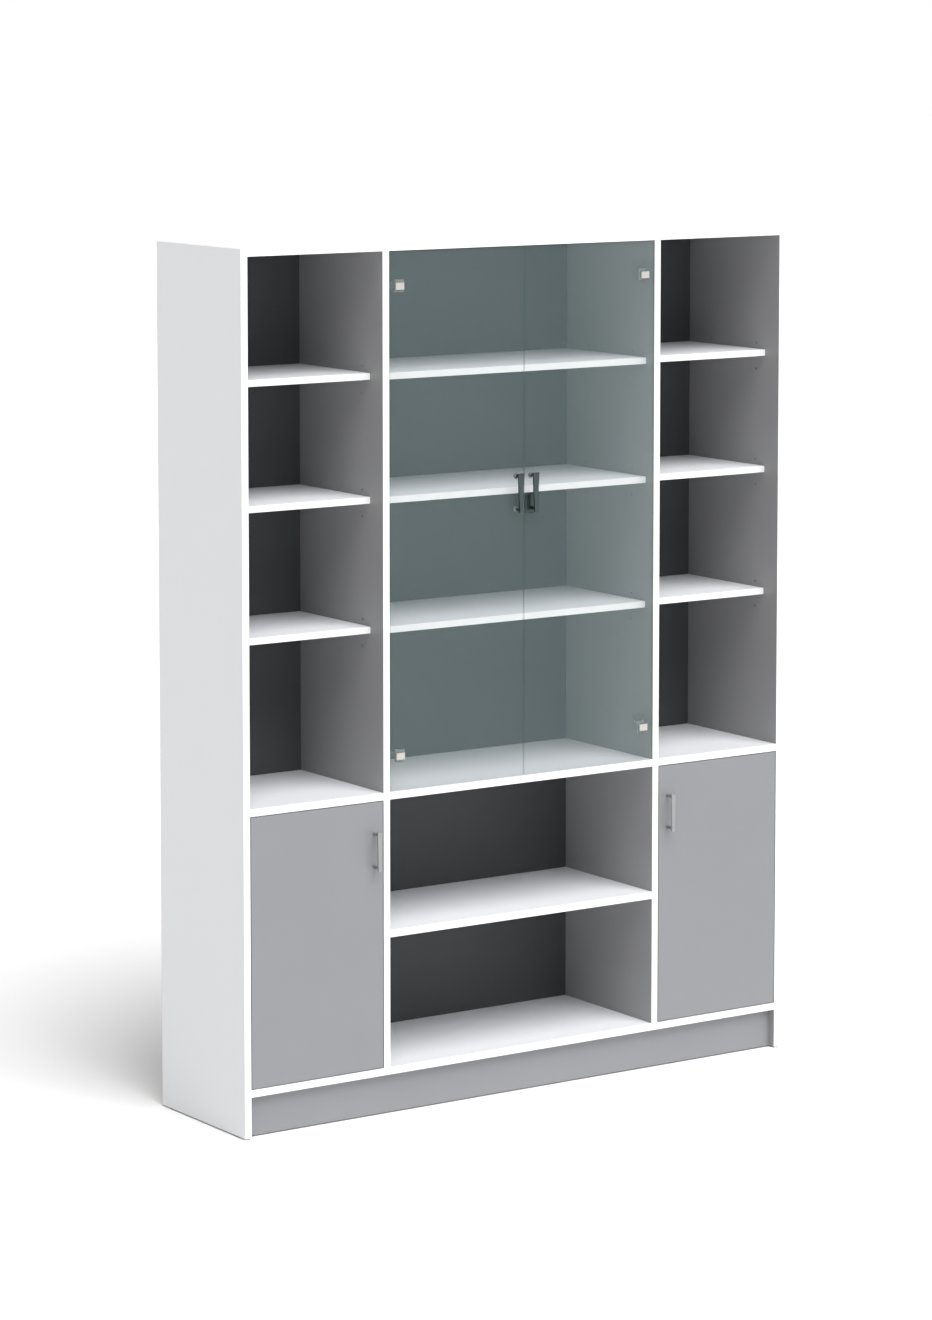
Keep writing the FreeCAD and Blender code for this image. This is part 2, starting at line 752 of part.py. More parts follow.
def build_bracket(side, end, level):
    """The fixed half of a hinge: middle knuckle, cranked arm and plate on the divider."""
    tag = f"bracket_{side}_{end}"
    width = around(level, "knuckle_width")
    centre = (across(side, "knuckle_x"), "knuckle_y")
    knuckle = rod(f"{tag}_knuckle", "z", width, centre, "knuckle_radius")
    arm_x = outward(side, "leaf_x", "leaf_x + arm_board")
    arm = box(f"{tag}_arm", arm_x, ("knuckle_y", "front + arm_reach"), width)
    crank_x = outward(side, "leaf_x", "divider_in")
    crank_y = ("front + arm_reach - arm_board", "front + arm_reach")
    crank = box(f"{tag}_crank", crank_x, crank_y, width)
    plate_x = outward(side, "divider_in - bracket_board", "divider_in")
    plate_y = ("front + arm_reach - arm_board", "front + arm_reach + bracket_length")
    flange = box(f"{tag}_flange", plate_x, plate_y, around(level, "bracket_height"))
    bore = rod(f"{tag}_bore", "z", width, centre, "hinge_pin_radius + pivot_play")
    body = fuse(f"{tag}_body", [knuckle, arm, crank, flange])
    screws, holes = [], []
    rows = (f"{plate_y[0]} + bracket_screw_inset + screw_head_radius",
            f"{plate_y[1]} - bracket_screw_inset")
    for row, depth in enumerate(rows):
        shank_x = outward(side, "divider_in - bracket_board", "divider_in + bolt_seat")
        head_x = outward(side, "divider_in - bracket_board - screw_head", "divider_in - bracket_board")
        shank = rod(f"{tag}_shank_{row}", "x", shank_x, (depth, level), "screw_radius")
        head = rod(f"{tag}_head_{row}", "x", head_x, (depth, level), "screw_head_radius")
        screws.append(fuse(f"{tag}_screw_{row}", [shank, head]))
        hole = rod(f"{tag}_hole_{row}", "x", shank_x, (depth, level), "screw_radius")
        holes.append(hole)
        upright_tools[f"divider_{side}"].append(hole)
    return cut(tag, body, [bore] + holes), screws


def build_leaf(side, end, level):
    """The moving half of a hinge behind the glass, its pin, and the cap in front of the glass."""
    tag = f"leaf_{side}_{end}"
    whole = around(level, "hinge_height")
    middle = around(level, "knuckle_width + 2 * running_gap")
    centre = (across(side, "knuckle_x"), "knuckle_y")
    barrel = rod(f"{tag}_barrel", "z", whole, centre, "knuckle_radius")
    tongue_x = outward(side, "leaf_x", "knuckle_x")
    tongue = box(f"{tag}_tongue", tongue_x, ("pane_back", "knuckle_y"), whole)
    notch_x = outward(side, "leaf_x - running_gap", "knuckle_x + knuckle_radius + running_gap")
    notch_y = ("pane_back", "knuckle_y + knuckle_radius + running_gap")
    notch = box(f"{tag}_notch", notch_x, notch_y, middle)
    slab_x = outward(side, "leaf_x - leaf_length", "leaf_x")
    slab = box(f"{tag}_slab", slab_x, ("pane_back", "leaf_back"), whole)
    boss_at = (across(side, "boss_x"), level)
    boss_hole = rod(f"{tag}_boss_hole", "y", ("pane_back", "leaf_back"), boss_at, "boss_radius")
    pin_hole = rod(f"{tag}_pin_hole", "z", whole, centre, "hinge_pin_radius")
    solid = fuse(f"{tag}_solid", [barrel, tongue, slab])
    leaf = cut(tag, solid, [fuse(f"{tag}_hollow", [notch, pin_hole, boss_hole])])
    pin = rod(f"{tag}_pin", "z", whole, centre, "hinge_pin_radius")

    cover = plate(f"{tag}_cover", "cap_width", "cap_height", "cap_board", "Fillet", "cap_round")
    place(cover, across(side, "cap_x"), "front - cap_board", level)
    boss = rod(f"{tag}_boss", "y", ("front", "leaf_back"), boss_at, "boss_radius")
    cap = fuse(f"{tag}_cap", [cover, boss])
    pane_hole = rod(f"{tag}_pane_hole", "y", ("front", "pane_back"), boss_at, "boss_radius + boss_play")
    return leaf, pin, cap, pane_hole


def build_glass_doors():
    """Two frameless glass doors, hinged at the dividers, with a pull each side of the meeting line."""
    brackets, bracket_screws = [], []
    for side in ("left", "right"):
        leaves, pins, caps, tools = [], [], [], []
        for end, level in HINGE_LEVELS.items():
            bracket, screws = build_bracket(side, end, level)
            brackets.append(bracket)
            bracket_screws += screws
            leaf, pin, cap, hole = build_leaf(side, end, level)
            leaves.append(leaf)
            pins.append(pin)
            caps.append(cap)
            tools.append(hole)
        name = f"glass_door_{side}"
        x, z = across(side, "glass_pull_offset"), "glass_pull_level"
        tools += pull_holes(name, x, z, ("front", "pane_back"), "screw_radius + screw_play")
        pane = plate(f"{name}_pane", "pane_outer_x - pane_inner_x", "pane_high - pane_low", "glass",
                     "Chamfer", "glass_arris")
        place(pane, across(side, "pane_middle_x"), "front", "(pane_low + pane_high) / 2")
        node(name, cut(f"{name}_cut", pane, tools))
        node(f"glass_hinge_leaves_{side}", gather(f"glass_hinge_leaves_{side}", leaves))
        node(f"glass_hinge_pins_{side}", gather(f"glass_hinge_pins_{side}", pins))
        node(f"glass_hinge_caps_{side}", gather(f"glass_hinge_caps_{side}", caps))
        build_pull(f"glass_pull_{side}", x, z, "glass_pull_projection", "glass_pull_top_width",
                   "glass_pull_foot_width")
        build_glass_pull_fixings(side, x, z)
    node("glass_hinge_brackets", gather("glass_hinge_brackets", brackets))
    node("bracket_screws", gather("bracket_screws", bracket_screws))
    build_foot_plate()


def build_glass_pull_fixings(side, x, z):
    """Screws and washers behind the glass."""
    washer_back = "pane_back + washer_board"
    pull_screws(f"glass_pull_screws_{side}", x, z, washer_back)
    washers = []
    for end, step in (("upper", 1), ("lower", -1)):
        at = (x, f"{z} + {step} * post_spacing / 2")
        span = ("pane_back", washer_back)
        tag = f"washer_{side}_{end}"
        disc = rod(f"{tag}_disc", "y", span, at, "washer_radius")
        washers.append(cut(tag, disc, [rod(f"{tag}_hole", "y", span, at, "screw_radius")]))
    node(f"glass_pull_washers_{side}", gather(f"glass_pull_washers_{side}", washers))


def build_foot_plate():
    """The flat plate round the lower post of the right glass door's pull."""
    cover = plate("foot_plate", "plate_width", "plate_height", "plate_board", "Chamfer", "glass_arris")
    place(cover, "glass_pull_offset", "front - plate_board", "plate_level")
    at = ("glass_pull_offset", "glass_pull_level - post_spacing / 2")
    hole = rod("foot_plate_hole", "y", ("front - plate_board", "front"), at, "post_radius + plate_play")
    node("pull_foot_plate", cut("foot_plate_cut", cover, [hole]))


# ---------------------------------------------------------------------------------------------
# Checking and writing
# ---------------------------------------------------------------------------------------------
def check_document():
    """Stop if any object failed or any sub-part isn't a valid solid."""
    for item in document.Objects:
        if "Invalid" in item.State or "Error" in item.State:
            raise RuntimeError(f"{item.Name} failed: {item.State}")
    for item in nodes:
        if item.Shape.isNull() or not item.Shape.isValid() or not item.Shape.Solids:
            raise RuntimeError(f"{item.Label} isn't a valid solid")
        if len(item.Label) >= MAX_NAME:
            raise RuntimeError(f"{item.Label} is too long a name")


def write_parts():
    """Write each sub-part to its own STEP file."""
    os.makedirs(PART_FOLDER, exist_ok=True)
    for item in nodes:
        item.Shape.exportStep(f"{PART_FOLDER}/{item.Label}.step")
        print(f"{item.Label}: {len(item.Shape.Solids)} solid(s), {item.Shape.Volume:.0f} mm3")


build_shelves()
build_top_and_bottom()
build_plinth()
build_backs()
build_cupboard_doors()
build_glass_doors()
build_uprights()
build_fittings()
document.recompute()
check_document()
write_parts()
print(f"{len(nodes)} sub-parts")
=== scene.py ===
"""Finishes, small fittings, floor, light and camera of a tall office bookcase.

Metres, +Z up, +X to the viewer's right, the doors face -Y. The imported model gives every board,
door and hinge; this script dresses them and builds the pulls, screws, pins and catches.
"""
import logging
import math
from dataclasses import dataclass, field
from enum import Enum
from typing import Any, Iterable, Sequence

import bmesh
import bpy
from mathutils import Matrix, Vector


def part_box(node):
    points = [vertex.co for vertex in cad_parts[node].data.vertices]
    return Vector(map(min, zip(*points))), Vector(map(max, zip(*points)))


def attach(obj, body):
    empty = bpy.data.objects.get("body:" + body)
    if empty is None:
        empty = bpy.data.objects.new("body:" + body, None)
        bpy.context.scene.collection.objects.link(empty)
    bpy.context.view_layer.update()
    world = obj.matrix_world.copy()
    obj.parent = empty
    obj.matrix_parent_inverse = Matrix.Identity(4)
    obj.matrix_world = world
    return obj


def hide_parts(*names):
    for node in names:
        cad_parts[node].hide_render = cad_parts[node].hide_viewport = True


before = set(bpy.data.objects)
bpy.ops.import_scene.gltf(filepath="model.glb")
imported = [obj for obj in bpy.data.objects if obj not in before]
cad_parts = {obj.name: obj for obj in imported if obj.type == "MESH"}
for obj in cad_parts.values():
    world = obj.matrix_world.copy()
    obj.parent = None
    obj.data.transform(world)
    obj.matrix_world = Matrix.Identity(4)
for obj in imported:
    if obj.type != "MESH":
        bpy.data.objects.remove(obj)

log = logging.getLogger("bookcase")

Point = tuple[float, float, float]
Box = tuple[Vector, Vector]

MM = 0.001
WELD = 0.001 * MM  # corners closer than this are one corner
SKIN = 0.4 * MM  # a face this near one of the bookcase's outermost planes lies in it
AXIS_MARK = "axis"
MIX_FACTOR, MIX_A, MIX_B, MIX_RESULT = 0, 6, 7, 2  # the colour sockets of a Mix node
OUTER_X, BACK_Y, TOP_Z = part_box("side_panel_right")[1]


class Side(Enum):
    """The half of the bookcase that a door hangs in."""

    LEFT = "left"
    RIGHT = "right"


class Recess(Enum):
    """What a driver turns a fitting by."""

    NONE = "none"
    CROSS = "cross"


# ---------------------------------------------------------------------------------------------
# Nodes and colours
# ---------------------------------------------------------------------------------------------
def linear(code: str, gain: float = 1.0) -> tuple[float, float, float, float]:
    """Turn an sRGB hex colour into linear light.

    Args:
        code: the colour as "#RRGGBB".
        gain: a factor on the linear values.

    Returns:
        Red, green, blue and an alpha of 1.
    """
    parts = [int(code[i:i + 2], 16) / 255 for i in (1, 3, 5)]
    values = [p / 12.92 if p <= 0.04045 else ((p + 0.055) / 1.055) ** 2.4 for p in parts]
    return (values[0] * gain, values[1] * gain, values[2] * gain, 1.0)


def add(tree: bpy.types.NodeTree, kind: str, inputs: dict[Any, Any] | None = None,
        **settings: Any) -> bpy.types.Node:
    """Add one node with its settings, values and links.

    Args:
        tree: the tree that gets the node.
        kind: the node's type.
        inputs: an input's name or number, with its value or the output that feeds it.
        settings: the node's own settings.

    Returns:
        The new node.
    """
    node = tree.nodes.new(kind)
    for name, value in settings.items():
        setattr(node, name, value)
    for name, value in (inputs or {}).items():
        if isinstance(value, bpy.types.NodeSocket):
            tree.links.new(value, node.inputs[name])
        else:
            node.inputs[name].default_value = value
    return node


# ---------------------------------------------------------------------------------------------
# Finishes
# ---------------------------------------------------------------------------------------------
@dataclass(frozen=True)
class Finish:
    """A surface finish: one material, made once and shared by its pieces."""

    title: str
    roughness: float
    face: str = "#FFFFFF"
    tones: tuple[float, float] = (0.95, 1.05)  # the factors for the face's two tones
    gloss_spread: float = 0.0  # how far the roughness goes either way
    relief: float = 0.0  # how much of the relief's depth shows
    relief_depth: float = 0.1 * MM

    def material(self) -> bpy.types.Material:
        """Make the finish's material at its first use, and find it after that.

        Returns:
            The material.
        """
        found = bpy.data.materials.get(self.title)
        if found is None:
            found = bpy.data.materials.new(self.title)
            found.use_nodes = True
            tree = found.node_tree
            tree.nodes.clear()
            place = add(tree, "ShaderNodeTexCoord").outputs["Object"]
            shader = self.lay(tree, place)
            add(tree, "ShaderNodeOutputMaterial", {"Surface": shader.outputs["BSDF"]})
        return found

    def lay(self, tree: bpy.types.NodeTree, place: bpy.types.NodeSocket) -> bpy.types.Node:
        """Build the finish's nodes.

        Args:
            tree: the material's node tree.
            place: each point's place on the bookcase.

        Returns:
            The shader node.
        """
        raise NotImplementedError

    def toned(self, tree: bpy.types.NodeTree,
              pattern: bpy.types.NodeSocket) -> bpy.types.NodeSocket:
        """Vary the face's colour between its two tones.

        Args:
            tree: the material's node tree.
            pattern: each point's share of the second tone.

        Returns:
            Each point's colour.
        """
        return add(tree, "ShaderNodeMix", {
            MIX_FACTOR: pattern,
            MIX_A: linear(self.face, self.tones[0]),
            MIX_B: linear(self.face, self.tones[1])}, data_type="RGBA").outputs[MIX_RESULT]

    def surface(self, tree: bpy.types.NodeTree, shade: bpy.types.NodeSocket,
                pattern: bpy.types.NodeSocket, **values: Any) -> bpy.types.Node:
        """Build the shader, with the pattern in its gloss and in its relief.

        Args:
            tree: the material's node tree.
            shade: each point's colour.
            pattern: the pattern's height at each point.
            values: the shader's other inputs, named with _ for a space.

        Returns:
            The shader node.
        """
        inputs: dict[str, Any] = {name.replace("_", " "): value for name, value in values.items()}
        inputs |= {"Base Color": shade, "Roughness": self.roughness}
        if self.gloss_spread:
            inputs["Roughness"] = add(tree, "ShaderNodeMapRange", {
                "Value": pattern, "To Min": self.roughness - self.gloss_spread,
                "To Max": self.roughness + self.gloss_spread}).outputs["Result"]
        if self.relief:
            inputs["Normal"] = add(tree, "ShaderNodeBump", {
                "Height": pattern, "Strength": self.relief,
                "Distance": self.relief_depth}).outputs["Normal"]
        return add(tree, "ShaderNodeBsdfPrincipled", inputs)


@dataclass(frozen=True)
class MelamineBoard(Finish):
    """Melamine faced chipboard, pressed against a finely pearled plate.

    The eye gets a matt, even face with a soft broken highlight. Saw-cut edges that nobody sees in
    use show the tan chips of the core.
    """

    face: str = "#E6E7EA"
    tones: tuple[float, float] = (0.965, 1.035)
    gloss_spread: float = 0.05
    relief: float = 0.12
    relief_depth: float = 0.15 * MM
    # the outer faces' white, darkened with painted shade for the sides' lower light
    outer_white_and_painted_shade: str | None = None
    raw_back: bool = False
    core: tuple[str, str] = ("#D3B98F", "#8F7048")
    pearl: float = 1.6 * MM  # real pearls are 0.3 mm, drawn coarser so that they show
    cloud: float = 240 * MM
    chip: float = 2.6 * MM  # real chips are 1 to 2 mm, drawn coarser so that they show

    def lay(self, tree: bpy.types.NodeTree, place: bpy.types.NodeSocket) -> bpy.types.Node:
        """Build the board's nodes: pearl, clouds, the outer face's colour and the raw core.

        Args:
            tree: the material's node tree.
            place: each point's place on the bookcase.

        Returns:
            The shader node.
        """
        axes = add(tree, "ShaderNodeSeparateXYZ", {"Vector": place}).outputs
        pearl = add(tree, "ShaderNodeTexNoise", {
            "Vector": place, "Scale": 1 / self.pearl, "Detail": 2.0}).outputs["Fac"]
        cloud = add(tree, "ShaderNodeTexNoise", {
            "Vector": place, "Scale": 1 / self.cloud, "Detail": 3.0}).outputs["Fac"]
        shade = self.toned(tree, cloud)
        # Outer faces and top ends take a white darkened with painted shade.
        if self.outer_white_and_painted_shade:
            across = add(tree, "ShaderNodeMath", {0: axes["X"]}, operation="ABSOLUTE")
            outside = add(tree, "ShaderNodeMath", {
                0: across.outputs[0], 1: OUTER_X - SKIN}, operation="GREATER_THAN")
            upper_end = add(tree, "ShaderNodeMath", {
                0: axes["Z"], 1: TOP_Z - SKIN}, operation="GREATER_THAN")
            light = add(tree, "ShaderNodeMath", {
                0: outside.outputs[0], 1: upper_end.outputs[0]}, operation="MAXIMUM")
            shade = add(tree, "ShaderNodeMix", {
                MIX_FACTOR: light.outputs[0], MIX_A: shade, MIX_B: linear(self.outer_white_and_painted_shade)},
                data_type="RGBA").outputs[MIX_RESULT]
        if self.raw_back:
            behind = add(tree, "ShaderNodeMath", {
                0: axes["Y"], 1: BACK_Y - SKIN}, operation="GREATER_THAN")
            chips = add(tree, "ShaderNodeTexVoronoi", {"Vector": place, "Scale": 1 / self.chip})
            core = add(tree, "ShaderNodeMix", {
                MIX_FACTOR: chips.outputs["Distance"], MIX_A: linear(self.core[0]),
                MIX_B: linear(self.core[1])}, data_type="RGBA").outputs[MIX_RESULT]
            shade = add(tree, "ShaderNodeMix", {
                MIX_FACTOR: behind.outputs[0], MIX_A: shade, MIX_B: core},
                data_type="RGBA").outputs[MIX_RESULT]
        return self.surface(tree, shade, pearl, IOR=1.5)


@dataclass(frozen=True)
class Hardboard(Finish):
    """Thin hardboard with a printed dark foil, darkened with painted shade: flat, matt,
    felt-mottled.
    """

    # the foil's colour, darkened with painted shade for the bays' backs
    face: str = "#3F4042"
    relief: float = 0.1
    mottle: float = 9 * MM

    def lay(self, tree: bpy.types.NodeTree, place: bpy.types.NodeSocket) -> bpy.types.Node:
        """Build the foil's nodes: one mottle for colour and relief.

        Args:
            tree: the material's node tree.
            place: each point's place on the bookcase.

        Returns:
            The shader node.
        """
        mottle = add(tree, "ShaderNodeTexNoise", {
            "Vector": place, "Scale": 1 / self.mottle, "Detail": 5.0,
            "Roughness": 0.65}).outputs["Fac"]
        return self.surface(tree, self.toned(tree, mottle), mottle)


@dataclass(frozen=True)
class SmoothCoat(Finish):
    """Moulded plastic or powder coat: an even colour, a mild sheen and a faint texture."""

    tones: tuple[float, float] = (0.98, 1.02)
    gloss_spread: float = 0.04
    relief: float = 0.15
    relief_depth: float = 0.05 * MM
    texture: float = 1.2 * MM  # the real texture is 0.5 mm, drawn coarser so that it shows

    def lay(self, tree: bpy.types.NodeTree, place: bpy.types.NodeSocket) -> bpy.types.Node:
        """Build the coat's nodes: one fine texture for colour, gloss and relief.

        Args:
            tree: the material's node tree.
            place: each point's place on the bookcase.

        Returns:
            The shader node.
        """
        texture = add(tree, "ShaderNodeTexNoise", {
            "Vector": place, "Scale": 1 / self.texture, "Detail": 2.0}).outputs["Fac"]
        return self.surface(tree, self.toned(tree, texture), texture, IOR=1.5)


@dataclass(frozen=True)
class BrushedMetal(Finish):
    """Metal with fine lines along one axis, which draw each highlight out across them."""

    tones: tuple[float, float] = (0.92, 1.08)
    gloss_spread: float = 0.07
    relief: float = 0.25
    relief_depth: float = 0.03 * MM
    # the real lines are 0.1 mm wide, drawn coarser so that they show
    grain: tuple[float, float, float] = (0.5 * MM, 0.5 * MM, 14 * MM)

    def lay(self, tree: bpy.types.NodeTree, place: bpy.types.NodeSocket) -> bpy.types.Node:
        """Build the metal's nodes: one set of lines for colour, gloss and relief.

        Args:
            tree: the material's node tree.
            place: each point's place on the bookcase.

        Returns:
            The shader node.
        """
        stretched = add(tree, "ShaderNodeMapping", {
            "Vector": place, "Scale": tuple(1 / step for step in self.grain)})
        lines = add(tree, "ShaderNodeTexNoise", {
            "Vector": stretched.outputs["Vector"], "Scale": 1.0, "Detail": 3.0,
            "Roughness": 0.6}).outputs["Fac"]
        return self.surface(tree, self.toned(tree, lines), lines, Metallic=1.0)


@dataclass(frozen=True)
class TintedGlass(Finish):
    """Body-tinted toughened glass: shelves show through a grey-green veil."""

    face: str = "#8BA2A3"
    cover: float = 0.12
    ripple: float = 180 * MM

    def lay(self, tree: bpy.types.NodeTree, place: bpy.types.NodeSocket) -> bpy.types.Node:
        """Build the glass's nodes: a slow change of tint and a thin veil of its colour.

        Args:
            tree: the material's node tree.
            place: each point's place on the bookcase.

        Returns:
            The shader node.
        """
        ripple = add(tree, "ShaderNodeTexNoise", {
            "Vector": place, "Scale": 1 / self.ripple, "Detail": 1.0}).outputs["Fac"]
        return self.surface(tree, self.toned(tree, ripple), ripple, IOR=1.52, Alpha=self.cover)


@dataclass(frozen=True)
class BeechDowel(Finish):
    """Planed beech: pale tan with short darker flecks along the grain."""

    face: str = "#C9A477"
    tones: tuple[float, float] = (0.75, 1.1)
    relief: float = 0.3
    fleck: tuple[float, float, float] = (6 * MM, 1 * MM, 1 * MM)

    def lay(self, tree: bpy.types.NodeTree, place: bpy.types.NodeSocket) -> bpy.types.Node:
        """Build the beech's nodes: flecks for colour and relief.

        Args:
            tree: the material's node tree.
            place: each point's place on the bookcase.

        Returns:
            The shader node.
        """
        stretched = add(tree, "ShaderNodeMapping", {
            "Vector": place, "Scale": tuple(1 / step for step in self.fleck)})
        flecks = add(tree, "ShaderNodeTexNoise", {
            "Vector": stretched.outputs["Vector"], "Scale": 1.0, "Detail": 4.0}).outputs["Fac"]
        return self.surface(tree, self.toned(tree, flecks), flecks)


@dataclass(frozen=True)
class StudioFloor(Finish):
    """Matt painted studio floor, faintly uneven."""

    face: str = "#FCFCFC"
    tones: tuple[float, float] = (0.98, 1.0)
    patch: float = 700 * MM

    def lay(self, tree: bpy.types.NodeTree, place: bpy.types.NodeSocket) -> bpy.types.Node:
        """Build the floor's nodes: broad patches of two near tones.

        Args:
            tree: the material's node tree.
            place: each point's place on the floor.

        Returns:
            The shader node.
        """
        uneven = add(tree, "ShaderNodeTexNoise", {
            "Vector": place, "Scale": 1 / self.patch, "Detail": 2.0}).outputs["Fac"]
        return self.surface(tree, self.toned(tree, uneven), uneven, Specular_IOR_Level=0.2)


# Pressed melamine: a cool matt white, and bare chips on the back edges.
WHITE_BOARD = MelamineBoard("white melamine chipboard", 0.45, raw_back=True)
# The same board, grey towards the shelves and light on the bookcase's outside, where its white is
# dimmed with painted shade.
SIDE_BOARD = MelamineBoard("two-tone melamine chipboard", 0.45, face="#929293",
                           outer_white_and_painted_shade="#DBDCDE", raw_back=True)
# The same board in a darker grey with a little more sheen.
FRONT_BOARD = MelamineBoard("grey melamine front", 0.4, face="#87888B")
# Printed foil, nearly black with painted shade, so that the bays look deep.
BACK_BOARD = Hardboard("dark hardboard with painted shade", 0.6)
# Extruded ABS: the brightest white, a clean line round each bay.
EDGE_BAND = SmoothCoat("white ABS edge band", 0.35, face="#F2F2F1")
# Float glass, toughened: a clear veil with sharp reflections.
GLASS = TintedGlass("grey-green toughened glass", 0.06)
# Its ground and polished edge: a denser, softer green line.
GLASS_EDGE = TintedGlass("polished glass edge", 0.2, face="#7C9A97", cover=0.3)
# Extruded, brushed and anodised: a soft upright highlight.
ALUMINIUM = BrushedMetal("satin anodised aluminium", 0.4, face="#A8AAAB")
# Die cast, brushed and smoke plated: dark, with a dull glint.
SMOKED_NICKEL = BrushedMetal("smoked satin nickel", 0.36, face="#4F5959")
# Pressed steel, brushed and nickel plated: warm and bright, lined across.
NICKEL = BrushedMetal("satin nickel plated steel", 0.3, face="#CFCCC4",
                      grain=(8 * MM, 0.6 * MM, 0.6 * MM))
# Turned steel, zinc plated: a bright speckle with no direction.
ZINC = BrushedMetal("zinc plated steel", 0.32, face="#C4C6C4",
                    grain=(1.5 * MM, 1.5 * MM, 1.5 * MM))
# Bare die cast zinc: duller, with a fine speckle.
CAST_ZINC = BrushedMetal("die cast zinc", 0.5, face="#9A9B9C", grain=(1 * MM, 1 * MM, 1 * MM))
# Moulded polyamide: dark and dull.
DARK_PLASTIC = SmoothCoat("dark grey polyamide", 0.5, face="#2B2C2E")
# Moulded soft plastic: a smoky grey disc behind the pulls.
SOFT_PLASTIC = SmoothCoat("smoky soft plastic", 0.35, face="#7F8686")
# Powder coat: an even mid grey with a mild sheen.
GREY_STEEL = SmoothCoat("grey powder coated steel", 0.4, face="#85898A")
# Planed and fluted beech: a dry, pale tan.
BEECH = BeechDowel("fluted beech", 0.6)


# ---------------------------------------------------------------------------------------------
# Meshes
# ---------------------------------------------------------------------------------------------
def ring_points(radius: float, height: float, count: int) -> list[Point]:
    """Points of a level circle.

    Args:
        radius: the circle's radius.
        height: its height.
        count: how many points.

    Returns:
        The points, anticlockwise from above.
    """
    turn = 2 * math.pi / count
    return [(radius * math.cos(i * turn), radius * math.sin(i * turn), height)
            for i in range(count)]


def bridge(mesh: bmesh.types.BMesh, low: Sequence[bmesh.types.BMVert],
           high: Sequence[bmesh.types.BMVert]) -> None:
    """Join two loops of as many points with a band of faces.

    Args:
        mesh: the mesh that holds both loops.
        low: the first loop.
        high: the second loop.
    """
    for i in range(len(low)):
        j = (i + 1) % len(low)
        mesh.faces.new((low[i], low[j], high[j], high[i]))


def loft(mesh: bmesh.types.BMesh, loops: Iterable[Sequence[Point]],
         closed_end: bool = True) -> list[bmesh.types.BMVert]:
    """Skin a run of loops and close its ends.

    Args:
        mesh: the mesh that gets the skin.
        loops: the loops' points, first to last.
        closed_end: whether the last loop is closed too.

    Returns:
        The last loop's vertices.
    """
    last: list[bmesh.types.BMVert] = []
    for points in loops:
        current = [mesh.verts.new(point) for point in points]
        if last:
            bridge(mesh, last, current)
        else:
            mesh.faces.new(list(reversed(current)))
        last = current
    if closed_end:
        mesh.faces.new(last)
    return last


def add_block(mesh: bmesh.types.BMesh, low: Vector, high: Vector, rounding: float) -> None:
    """Add a block with rounded edges.

    Args:
        mesh: the mesh that gets it.
        low: its lowest corner.
        high: its highest corner.
        rounding: the radius of its edges.
    """
    corners = bmesh.ops.create_cube(mesh, size=1.0)["verts"]
    bmesh.ops.scale(mesh, vec=high - low, verts=corners)
    bmesh.ops.translate(mesh, vec=(low + high) / 2, verts=corners)
    edges = list({edge for vertex in corners for edge in vertex.link_edges})
    bmesh.ops.bevel(mesh, geom=edges, offset=rounding, segments=3, profile=0.5, affect="EDGES")


def finish_mesh(mesh: bmesh.types.BMesh, name: str, finish: Finish,
                smooth: float = 35) -> bpy.types.Object:
    """Turn a built mesh into a named object with one finish.

    Args:
        mesh: the built mesh, which is freed.
        name: the object's name.
        finish: its finish.
        smooth: edges sharper than this many degrees stay sharp.

    Returns:
        The object, linked to the scene.
    """
    bmesh.ops.recalc_face_normals(mesh, faces=mesh.faces)
    limit = math.radians(smooth)
    for face in mesh.faces:
        face.smooth = True
    for edge in mesh.edges:
        edge.smooth = len(edge.link_faces) == 2 and edge.calc_face_angle(0) < limit
    data = bpy.data.meshes.new(name)
    mesh.to_mesh(data)
    mesh.free()
    data.materials.append(finish.material())
    item = bpy.data.objects.new(name, data)
    bpy.context.scene.collection.objects.link(item)
    return item


def islands(node: str) -> list[Box]:
    """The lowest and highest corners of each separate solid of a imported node.

    Args:
        node: the node's name.

    Returns:
        One pair of corners for each solid.
    """
    mesh = bmesh.new()
    mesh.from_mesh(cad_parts[node].data)
    bmesh.ops.remove_doubles(mesh, verts=mesh.verts, dist=WELD)
    waiting, found = set(mesh.verts), []
    while waiting:
        reached = [waiting.pop()]
        group = list(reached)
        while reached:
            for edge in reached.pop().link_edges:
                for vertex in edge.verts:
                    if vertex in waiting:
                        waiting.remove(vertex)
                        reached.append(vertex)
                        group.append(vertex)
        spots = [vertex.co.copy() for vertex in group]
        low = Vector(min(p[i] for p in spots) for i in range(3))
        high = Vector(max(p[i] for p in spots) for i in range(3))
        found.append((low, high))
    mesh.free()
    return sorted(found, key=lambda pair: tuple(round(c, 5) for c in pair[0]))


